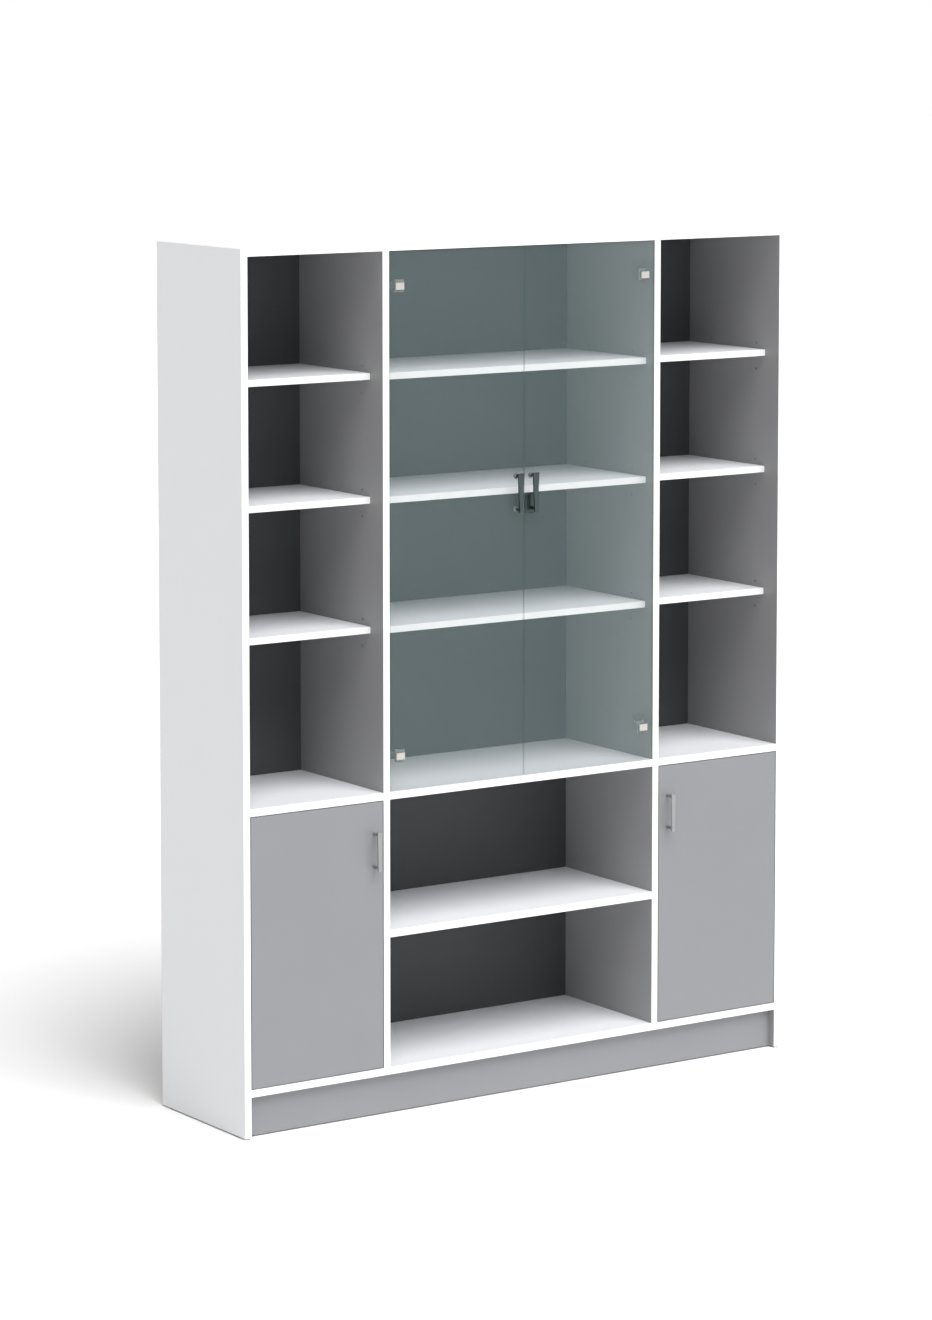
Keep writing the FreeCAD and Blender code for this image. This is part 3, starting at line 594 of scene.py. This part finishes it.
# ---------------------------------------------------------------------------------------------
# Fittings
# ---------------------------------------------------------------------------------------------
@dataclass
class TurnedFitting:
    """A small turned part, drawn one diameter wide, with its axis up and its seat at height 0."""

    name: str
    profile: tuple[tuple[float, float], ...]
    recess: Recess = Recess.NONE
    recess_span: float = 0.55
    recess_width: float = 0.14
    recess_depth: float = 0.14
    sides: int = 24

    @property
    def height(self) -> float:
        """How far the part's end stands above its seat, in diameters."""
        return self.profile[-1][1]

    def cross(self, height: float) -> list[Point]:
        """Points of a level cross.

        Args:
            height: the cross's height.

        Returns:
            The points, anticlockwise from above.
        """
        far, near = self.recess_span / 2, self.recess_width / 2
        arm = [(far, -near), (far, near), (near, near)]
        points = []
        for quarter in range(4):
            turn = Matrix.Rotation(quarter * math.pi / 2, 2)
            points += [turn @ Vector(p) for p in arm]
        return [(p.x, p.y, height) for p in points]

    def build(self) -> bpy.types.Object:
        """Build the part.

        Returns:
            The part, as an object that stands apart from the bookcase.
        """
        mesh = bmesh.new()
        loops = [ring_points(r, z, self.sides) for r, z in self.profile]
        rim = loft(mesh, loops, closed_end=self.recess is Recess.NONE)
        if self.recess is Recess.CROSS:
            mouth = [mesh.verts.new(p) for p in self.cross(self.height)]
            edges = [mesh.edges.get((a, b)) or mesh.edges.new((a, b))
                     for loop in (rim, mouth) for a, b in zip(loop, loop[1:] + loop[:1])]
            bmesh.ops.triangle_fill(mesh, edges=edges, use_beauty=True)
            floor = [mesh.verts.new(p) for p in self.cross(self.height - self.recess_depth)]
            bridge(mesh, mouth, floor)
            mesh.faces.new(floor)
        return finish_mesh(mesh, self.name, ZINC)


SCREW_HEAD = TurnedFitting(
    "screw_head", ((0.5, 0.0), (0.5, 0.1), (0.44, 0.2), (0.32, 0.28), (0.3, 0.29)),
    Recess.CROSS, recess_span=0.46, recess_width=0.11, recess_depth=0.2)
CAM_LOCK = TurnedFitting(
    "cam_lock", ((0.5, -0.8), (0.5, -0.03), (0.47, 0.0), (0.4, 0.0), (0.38, -0.03)),
    Recess.CROSS, recess_span=0.44, recess_width=0.1, recess_depth=0.14)
SHELF_PIN = TurnedFitting(
    "shelf_pin", ((0.44, 0.0), (0.5, 0.12), (0.5, 1.9), (0.42, 1.98), (0.42, 2.14),
                  (0.5, 2.22), (0.5, 2.9), (0.42, 3.1), (0.28, 3.2)))
GLIDE = TurnedFitting("glide", ((0.42, 0.0), (0.47, 0.015), (0.5, 0.05), (0.5, 0.1875)))


@dataclass
class FittingRows:
    """The node tree that sets one fitting on every marked spot, pointing along its axis."""

    spin: float = 180.0  # the most degrees by which a fitting is turned at random
    seed: int = 7
    title: str = "fitting rows"
    sockets: tuple[tuple[str, str], ...] = (
        ("Spots", "NodeSocketGeometry"), ("Fitting", "NodeSocketObject"),
        ("Diameter", "NodeSocketFloat"), ("Spin", "NodeSocketFloat"),
        ("Seed", "NodeSocketInt"), ("Finish", "NodeSocketMaterial"))

    def tree(self) -> bpy.types.NodeTree:
        """Build the tree, once.

        Returns:
            The tree.
        """
        found = bpy.data.node_groups.get(self.title)
        if found:
            return found
        tree = bpy.data.node_groups.new(self.title, "GeometryNodeTree")
        for name, kind in self.sockets:
            tree.interface.new_socket(name, in_out="INPUT", socket_type=kind)
        tree.interface.new_socket("Fittings", in_out="OUTPUT", socket_type="NodeSocketGeometry")
        given = add(tree, "NodeGroupInput").outputs
        pattern = add(tree, "GeometryNodeObjectInfo", {"Object": given["Fitting"]})
        axis = add(tree, "GeometryNodeInputNamedAttribute", {"Name": AXIS_MARK},
                   data_type="FLOAT_VECTOR")
        aimed = add(tree, "FunctionNodeAlignRotationToVector", {
            "Vector": axis.outputs["Attribute"]}, axis="Z")
        most = add(tree, "ShaderNodeMath", {0: given["Spin"]}, operation="RADIANS")
        chance = add(tree, "FunctionNodeRandomValue", {
            "Max": most.outputs[0], "Seed": given["Seed"]}, data_type="FLOAT")
        turn = add(tree, "FunctionNodeAxisAngleToRotation", {
            "Axis": (0, 0, 1), "Angle": chance.outputs["Value"]})
        turned = add(tree, "FunctionNodeRotateRotation", {
            "Rotation": aimed.outputs["Rotation"], "Rotate By": turn.outputs["Rotation"]},
            rotation_space="LOCAL")
        placed = add(tree, "GeometryNodeInstanceOnPoints", {
            "Points": given["Spots"], "Instance": pattern.outputs["Geometry"],
            "Rotation": turned.outputs["Rotation"], "Scale": given["Diameter"]})
        solid = add(tree, "GeometryNodeRealizeInstances", {
            "Geometry": placed.outputs["Instances"]})
        dressed = add(tree, "GeometryNodeSetMaterial", {
            "Geometry": solid.outputs["Geometry"], "Material": given["Finish"]})
        add(tree, "NodeGroupOutput", {"Fittings": dressed.outputs["Geometry"]})
        return tree

    def lay(self, name: str, fitting: TurnedFitting, diameter: float, finish: Finish,
            spots: Sequence[tuple[Vector, Vector]]) -> bpy.types.Object:
        """Set a fitting on every spot and make one plain mesh of them.

        Args:
            name: the new piece's name.
            fitting: what to set.
            diameter: its diameter in metres.
            finish: its finish.
            spots: each seat's middle and outward axis.

        Returns:
            The piece, with no modifier on it.
        """
        pattern = fitting.build()
        marks = bpy.data.meshes.new(name + "_spots")
        marks.from_pydata([seat for seat, _ in spots], [], [])
        axes = marks.attributes.new(AXIS_MARK, "FLOAT_VECTOR", "POINT")
        for index, (_, axis) in enumerate(spots):
            axes.data[index].vector = axis
        item = bpy.data.objects.new(name, marks)
        bpy.context.scene.collection.objects.link(item)
        modifier = item.modifiers.new(self.title, "NODES")
        modifier.node_group = self.tree()
        names = {s.name: s.identifier for s in modifier.node_group.interface.items_tree
                 if s.in_out == "INPUT"}
        given = {"Fitting": pattern, "Diameter": diameter, "Spin": self.spin, "Seed": self.seed,
                 "Finish": finish.material()}
        for socket, value in given.items():
            modifier[names[socket]] = value
        graph = bpy.context.evaluated_depsgraph_get()
        item.update_tag()
        graph.update()
        plain = bpy.data.meshes.new_from_object(item.evaluated_get(graph), depsgraph=graph)
        item.modifiers.clear()
        item.data = plain
        plain.name = name
        bpy.data.meshes.remove(marks)
        spare = pattern.data
        bpy.data.objects.remove(pattern)
        bpy.data.meshes.remove(spare)
        return item


# ---------------------------------------------------------------------------------------------
# The bookcase
# ---------------------------------------------------------------------------------------------
@dataclass
class Assembly:
    """Some of the bookcase's pieces, which all ride on one body."""

    body: str
    head_diameter: float = 8 * MM
    finishes: dict[str, Finish] = field(default_factory=dict)
    rows: FittingRows = field(default_factory=FittingRows)
    made: list[str] = field(default_factory=list)

    def keep(self, item: bpy.types.Object, slot: str, *nodes: str) -> None:
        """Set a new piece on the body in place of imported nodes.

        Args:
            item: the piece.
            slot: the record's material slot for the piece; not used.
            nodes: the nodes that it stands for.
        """
        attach(item, self.body)
        if nodes:
            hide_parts(*nodes)
        self.made.append(item.name)

    def build(self) -> None:
        """Give the body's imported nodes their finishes."""
        for node, finish in self.finishes.items():
            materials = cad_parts[node].data.materials
            materials.clear()
            materials.append(finish.material())

    def report(self) -> None:
        """Log what the body shows."""
        log.info("%s: %d packed nodes, made %s",
                 self.body, len(self.finishes), ", ".join(self.made))


BOARDS: dict[Finish, tuple[str, ...]] = {
    WHITE_BOARD: ("top_panel", "bottom_panel", "plinth_rear", "plinth_braces",
                  "fixed_shelf_left", "fixed_shelf_middle", "fixed_shelf_right",
                  "lower_shelf_middle",
                  *(f"shelf_{bay}_{level}" for bay in ("left", "middle", "right")
                    for level in ("low", "middle", "high"))),
    SIDE_BOARD: ("side_panel_left", "side_panel_right", "divider_left", "divider_right"),
    FRONT_BOARD: ("plinth_front",),
    BACK_BOARD: ("back_panel_left", "back_panel_middle", "back_panel_right"),
    EDGE_BAND: ("edge_bands",),
    ZINC: ("cam_bolts", "pivot_pins"),
    GREY_STEEL: ("glass_hinge_brackets",),
    BEECH: ("dowels",),
}


@dataclass
class Carcass(Assembly):
    """The boards, with the fittings that hold them and the shelves."""

    body: str = "carcass"
    pin_diameter: float = 5 * MM
    cam_diameter: float = 15 * MM
    glide_diameter: float = 16 * MM
    catch_round: float = 1.2 * MM
    pole_width_share: float = 0.62
    pole_height_shares: tuple[float, float] = (0.34, 0.62)
    pole_proud: float = 0.15 * MM
    pole_depth: float = 2 * MM
    pole_thickness: float = 1.4 * MM
    pole_round: float = 0.3 * MM

    def build(self) -> None:
        """Dress the boards and build the pins, cams, glides, screws and catches."""
        self.finishes = {node: finish for finish, nodes in BOARDS.items() for node in nodes}
        super().build()
        self.build_pins()
        self.build_cams()
        self.build_glides()
        self.build_bracket_screws()
        self.build_catches()

    def build_pins(self) -> None:
        """Shelf pins: half in the board, with a ring and a round nose on the half that carries."""
        uprights = [sum(corner.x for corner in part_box(node)) / 2 for node in BOARDS[SIDE_BOARD]]
        spots = []
        for low, high in islands("shelf_pins"):
            middle = (low + high) / 2
            board = min(uprights, key=lambda x: abs(middle.x - x))
            away = 1 if middle.x > board else -1
            start = low.x if away > 0 else high.x
            spots.append((Vector((start, middle.y, middle.z)), Vector((away, 0, 0))))
        pins = self.rows.lay("shelf_pins_turned", SHELF_PIN, self.pin_diameter, ZINC, spots)
        self.keep(pins, "zinc_steel", "shelf_pins")

    def build_cams(self) -> None:
        """Cam locks flush with the undersides of the fixed boards."""
        spots = []
        for low, high in islands("cam_locks"):
            middle = (low + high) / 2
            spots.append((Vector((middle.x, middle.y, low.z)), Vector((0, 0, -1))))
        cams = self.rows.lay("cam_locks_turned", CAM_LOCK, self.cam_diameter, CAST_ZINC, spots)
        self.keep(cams, "cast_zinc", "cam_locks")

    def build_glides(self) -> None:
        """Glides with rounded rims under the uprights."""
        spots = []
        for low, high in islands("glides"):
            middle = (low + high) / 2
            spots.append((Vector((middle.x, middle.y, low.z)), Vector((0, 0, 1))))
        glides = self.rows.lay("glides_moulded", GLIDE, self.glide_diameter, DARK_PLASTIC, spots)
        self.keep(glides, "black_plastic", "glides")

    def build_bracket_screws(self) -> None:
        """Cross-head screws through the hinge brackets."""
        spots = []
        for low, high in islands("bracket_screws"):
            middle = (low + high) / 2
            inward = -1 if middle.x > 0 else 1
            head = low.x if inward < 0 else high.x
            seat = head - inward * SCREW_HEAD.height * self.head_diameter
            spots.append((Vector((seat, middle.y, middle.z)), Vector((inward, 0, 0))))
        screws = self.rows.lay("bracket_screw_heads", SCREW_HEAD, self.head_diameter, ZINC, spots)
        self.keep(screws, "zinc_steel", "bracket_screws")

    def build_catches(self) -> None:
        """Magnetic catches: a moulded housing with two steel pole strips at its front."""
        housings, poles = bmesh.new(), bmesh.new()
        for low, high in islands("magnetic_catches"):
            add_block(housings, low, high, self.catch_round)
            middle = (low.x + high.x) / 2
            reach = (high.x - low.x) * self.pole_width_share / 2
            for share in self.pole_height_shares:
                height = low.z + (high.z - low.z) * share
                near = Vector((middle - reach, low.y - self.pole_proud, height))
                far = Vector((middle + reach, low.y + self.pole_depth,
                              height + self.pole_thickness))
                add_block(poles, near, far, self.pole_round)
        self.keep(finish_mesh(housings, "catch_housings", DARK_PLASTIC),
                  "black_plastic", "magnetic_catches")
        self.keep(finish_mesh(poles, "catch_poles", ZINC), "zinc_steel")


@dataclass
class Pull:
    """A tapered bar on two posts, with its bar upright in front of a door."""

    node: str
    finish: Finish
    top_width: float
    foot_width: float
    length: float = 96 * MM
    thickness: float = 6 * MM
    corner: float = 1.6 * MM
    least_corner: float = 0.2 * MM
    post_radius: float = 4 * MM
    post_spacing: float = 80 * MM
    # a post's factor on its radius, and how far that ring lies behind the bar's back face
    flare: tuple[tuple[float, float], ...] = (
        (1.0, 2.4 * MM), (1.04, 1.2 * MM), (1.1, 0.4 * MM), (1.1, -0.6 * MM))
    rows: int = 12
    corner_steps: int = 4
    post_sides: int = 24

    def section(self, width: float, front: float, back: float, height: float,
                shrink: float) -> list[Point]:
        """A rounded rectangle across the bar, drawn in by an amount all round.

        Args:
            width: the bar's full width there.
            front: the depth of its front face.
            back: the depth of its back face.
            height: the section's height.
            shrink: how far every side is drawn in.

        Returns:
            The section's points.
        """
        radius = max(self.corner - shrink, self.least_corner)
        half = width / 2 - shrink - radius
        near, far = front + shrink + radius, back - shrink - radius
        centres = ((half, near, -90), (half, far, 0), (-half, far, 90), (-half, near, 180))
        points = []
        for x, y, start in centres:
            for step in range(self.corner_steps + 1):
                angle = math.radians(start + 90 * step / self.corner_steps)
                points.append((x + radius * math.cos(angle), y + radius * math.sin(angle),
                               height))
        return points

    def stations(self) -> list[tuple[float, float]]:
        """The heights along the bar that get a section, with rounded ends.

        Returns:
            Each height from the bar's middle, and how far its section is drawn in.
        """
        foot = []
        for step in range(self.corner_steps + 1):
            angle = math.radians(90 * step / self.corner_steps)
            height = -self.length / 2 + self.corner * (1 - math.cos(angle))
            foot.append((height, self.corner * (1 - math.sin(angle))))
        reach = self.length / 2 - self.corner
        middle = [(-reach + 2 * reach * row / self.rows, 0.0) for row in range(1, self.rows)]
        top = [(-height, shrink) for height, shrink in reversed(foot)]
        return foot + middle + top

    def build(self, name: str) -> bpy.types.Object:
        """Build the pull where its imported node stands.

        Args:
            name: the new piece's name.

        Returns:
            The piece.
        """
        low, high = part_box(self.node)
        front, back = low.y, low.y + self.thickness
        mesh = bmesh.new()
        loops = []
        for height, shrink in self.stations():
            share = height / self.length + 0.5
            width = self.foot_width + (self.top_width - self.foot_width) * share
            loops.append(self.section(width, front, back, height, shrink))
        loft(mesh, loops)
        post = [(1.0, high.y)] + [(factor, back + behind) for factor, behind in self.flare]
        for side in (-1, 1):
            rings = []
            for factor, depth in post:
                ring = ring_points(self.post_radius * factor, 0, self.post_sides)
                rings.append([(x, depth, y + side * self.post_spacing / 2) for x, y, _ in ring])
            loft(mesh, rings)
        place = ((low.x + high.x) / 2, 0, (low.z + high.z) / 2)
        bmesh.ops.translate(mesh, vec=place, verts=mesh.verts)
        return finish_mesh(mesh, name, self.finish)


@dataclass
class Door(Assembly):
    """A door with its pull and the screws behind it."""

    side: Side = Side.LEFT
    pull_top_width: float = 13 * MM
    pull_foot_width: float = 9 * MM

    def build_pull(self, node: str, finish: Finish, slot: str) -> None:
        """Build the pull.

        Args:
            node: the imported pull's name.
            finish: the pull's finish.
            slot: the record's material slot for it.
        """
        pull = Pull(node, finish, self.pull_top_width, self.pull_foot_width)
        self.keep(pull.build(f"{node}_bar"), slot, node)

    def build_screws(self, node: str) -> None:
        """Cross-head screws behind the door.

        Args:
            node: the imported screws' name.
        """
        spots = []
        for low, high in islands(node):
            middle = (low + high) / 2
            seat = high.y - SCREW_HEAD.height * self.head_diameter
            spots.append((Vector((middle.x, seat, middle.z)), Vector((0, 1, 0))))
        heads = self.rows.lay(f"{node}_heads", SCREW_HEAD, self.head_diameter, ZINC, spots)
        self.keep(heads, "zinc_steel", node)


@dataclass
class CupboardDoor(Door):
    """A flush grey door on pivot pins."""

    def build(self) -> None:
        """Dress the door and build its pull and screws."""
        hand = self.side.value
        self.finishes = {f"cupboard_door_{hand}": FRONT_BOARD,
                         f"pivot_bushes_{hand}": DARK_PLASTIC,
                         f"catch_strike_{hand}": ZINC}
        super().build()
        self.build_pull(f"cupboard_pull_{hand}", ALUMINIUM, "satin_aluminium")
        self.build_screws(f"cupboard_pull_screws_{hand}")


@dataclass
class GlassDoor(Door):
    """A frameless glass door on two hinges."""

    pull_top_width: float = 18 * MM
    pull_foot_width: float = 8.5 * MM
    edge_limit: float = 0.7  # a face whose normal's Y is less than this is a cut edge
    pane_smooth: float = 20

    def build(self) -> None:
        """Dress the hinges and build the pane, pull and screws."""
        hand = self.side.value
        self.finishes = {f"glass_hinge_leaves_{hand}": GREY_STEEL,
                         f"glass_hinge_pins_{hand}": ZINC,
                         f"glass_hinge_caps_{hand}": NICKEL,
                         f"glass_pull_washers_{hand}": SOFT_PLASTIC}
        if self.side is Side.RIGHT:
            self.finishes["pull_foot_plate"] = SMOKED_NICKEL
        super().build()
        self.build_pane(f"glass_door_{hand}")
        self.build_pull(f"glass_pull_{hand}", SMOKED_NICKEL, "smoked_nickel")
        self.build_screws(f"glass_pull_screws_{hand}")

    def build_pane(self, node: str) -> None:
        """Copy the pane, so that its cut edges get the look of polished glass.

        Args:
            node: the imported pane's name.
        """
        mesh = bmesh.new()
        mesh.from_mesh(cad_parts[node].data)
        bmesh.ops.remove_doubles(mesh, verts=mesh.verts, dist=WELD)
        pane = finish_mesh(mesh, f"{node}_pane", GLASS, smooth=self.pane_smooth)
        pane.data.materials.append(GLASS_EDGE.material())
        for face in pane.data.polygons:
            face.material_index = int(abs(face.normal.y) < self.edge_limit)
        self.keep(pane, "tinted_glass", node)


# ---------------------------------------------------------------------------------------------
# Floor, light and camera
# ---------------------------------------------------------------------------------------------
@dataclass
class Studio:
    """A pale floor, a white tent of light with a lit backdrop, and one soft lamp high in front."""

    floor_radius: float = 80.0
    floor_sides: int = 64
    horizon: float = 1.0  # the tent's brightness low down
    zenith: float = 0.30  # and overhead
    horizon_top: float = 0.06  # the sine of the elevation at which the low part ends
    zenith_start: float = 0.25  # and of that at which the high part starts
    backdrop: float = 1.0
    backdrop_turn: float = 34.0  # degrees, as all angles here
    backdrop_edge: float = 0.6  # the cosine of the angle at which the backdrop starts
    backdrop_full: float = 0.9  # and of the angle within which it is at its brightest
    key_power: float = 3.6
    key_softness: float = 50.0
    key_elevation: float = 57.0
    key_turn: float = 2.0

    def build(self) -> None:
        """Make the floor, the surrounding light and the lamp."""
        mesh = bmesh.new()
        bmesh.ops.create_circle(mesh, cap_ends=True, radius=self.floor_radius,
                                segments=self.floor_sides)
        floor = finish_mesh(mesh, "studio_floor", StudioFloor("matt studio floor", 0.9))
        self.build_tent()
        self.build_key()
        bpy.context.scene.view_settings.view_transform = "Standard"
        log.info("studio: floor, tent and key lamp")

    def build_tent(self) -> None:
        """Light from all round, brightest at the horizon and from the backdrop."""
        world = bpy.data.worlds.new("studio")
        world.use_nodes = True
        tree = world.node_tree
        tree.nodes.clear()
        direction = add(tree, "ShaderNodeTexCoord").outputs["Generated"]
        height = add(tree, "ShaderNodeSeparateXYZ", {"Vector": direction}).outputs["Z"]
        tent_strength = add(tree, "ShaderNodeMapRange", {
            "Value": height, "From Min": self.horizon_top, "From Max": self.zenith_start,
            "To Min": self.horizon, "To Max": self.zenith}, interpolation_type="SMOOTHSTEP")
        turn = math.radians(self.backdrop_turn)
        nearness = add(tree, "ShaderNodeVectorMath", {
            0: direction, 1: (math.sin(turn), math.cos(turn), 0.0)}, operation="DOT_PRODUCT")
        strength = add(tree, "ShaderNodeMapRange", {
            "Value": nearness.outputs["Value"],
            "From Min": self.backdrop_edge, "From Max": self.backdrop_full,
            "To Min": tent_strength.outputs["Result"], "To Max": self.backdrop},
            interpolation_type="SMOOTHSTEP")
        tent = add(tree, "ShaderNodeBackground", {
            "Color": (1, 1, 1, 1), "Strength": strength.outputs["Result"]})
        add(tree, "ShaderNodeOutputWorld", {"Surface": tent.outputs["Background"]})
        bpy.context.scene.world = world

    def build_key(self) -> None:
        """One broad lamp, far off, high in front and a little to the left."""
        data = bpy.data.lights.new("key", "SUN")
        data.energy = self.key_power
        data.angle = math.radians(self.key_softness)
        lamp = bpy.data.objects.new("key", data)
        lamp.rotation_euler = (math.radians(90 - self.key_elevation), 0,
                               -math.radians(self.key_turn))
        bpy.context.scene.collection.objects.link(lamp)


@dataclass
class Viewpoint:
    """The camera, ten metres off to the front and left, a little above the bookcase's top."""

    place: Vector = field(default_factory=lambda: Vector((-5.9436, -8.6528, 2.6979)))
    yaw: float = 34.260  # degrees to the right of +Y
    pitch: float = -5.730  # degrees above the horizon
    focal_pixels: float = 4300.0
    axis_row: float = 420.0  # the frame's row that the lens looks at
    frame_size: tuple[int, int] = (932, 1320)
    sensor: float = 36.0
    far_clip: float = 200.0

    def build(self) -> None:
        """Make the scene's camera."""
        height = self.frame_size[1]
        data = bpy.data.cameras.new("camera")
        data.sensor_width = self.sensor
        data.lens = self.focal_pixels / height * self.sensor
        data.shift_y = (self.axis_row - height / 2) / height
        data.clip_end = self.far_clip
        camera = bpy.data.objects.new("camera", data)
        camera.location = self.place
        camera.rotation_euler = (math.radians(90 + self.pitch), 0.0, -math.radians(self.yaw))
        bpy.context.scene.collection.objects.link(camera)
        bpy.context.scene.camera = camera
        log.info("camera: %.1f mm", data.lens)


def main() -> None:
    """Build the bookcase's pieces, the studio and the camera."""
    logging.basicConfig(level=logging.INFO, format="%(name)s %(message)s")
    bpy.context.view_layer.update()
    assemblies: list[Assembly] = [Carcass()]
    assemblies += [CupboardDoor(f"cupboard_door_{side.value}", side=side) for side in Side]
    assemblies += [GlassDoor(f"glass_door_{side.value}", side=side) for side in Side]
    for assembly in assemblies:
        assembly.build()
        assembly.report()
    Studio().build()
    Viewpoint().build()


if __name__ == "__main__":
    main()
